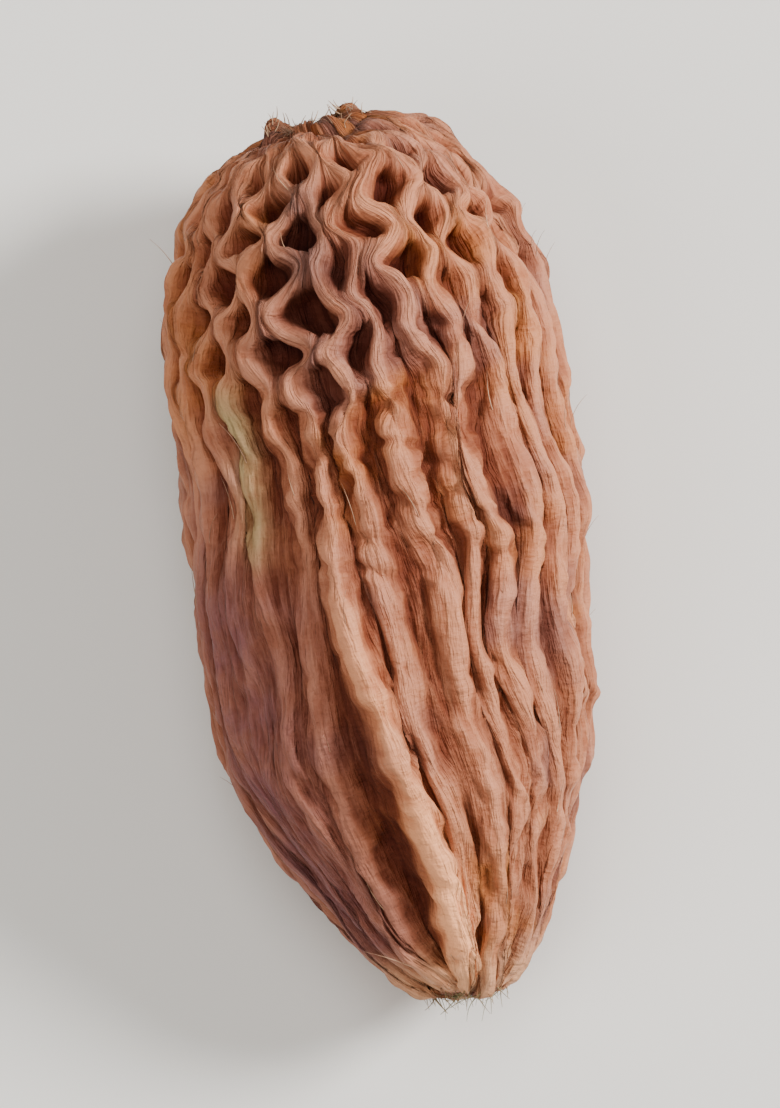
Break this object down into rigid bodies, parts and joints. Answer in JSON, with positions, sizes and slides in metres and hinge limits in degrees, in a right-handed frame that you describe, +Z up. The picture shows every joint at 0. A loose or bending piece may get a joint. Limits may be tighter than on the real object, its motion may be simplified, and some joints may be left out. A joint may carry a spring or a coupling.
{
  "type": "black cardamom pod",
  "caption": "Dried black cardamom pod lying on its side, with lengthwise ridges that knit into a raised net round the flower end.",
  "frame": {"origin": "on the resting surface, under the middle of the pod's box", "axes": "+Y along the pod from the stalk end to the flower end, +Z up, +X to the right seen from above with the flower end away"},
  "size_m": [0.0124, 0.0272, 0.0114],
  "materials": {
    "dried_husk": "dry fibrous husk, matte with a faint waxy sheen on the ridges"
  },
  "bodies": {
    "root": {"pod": "dried_husk"}
  },
  "joints": []
}
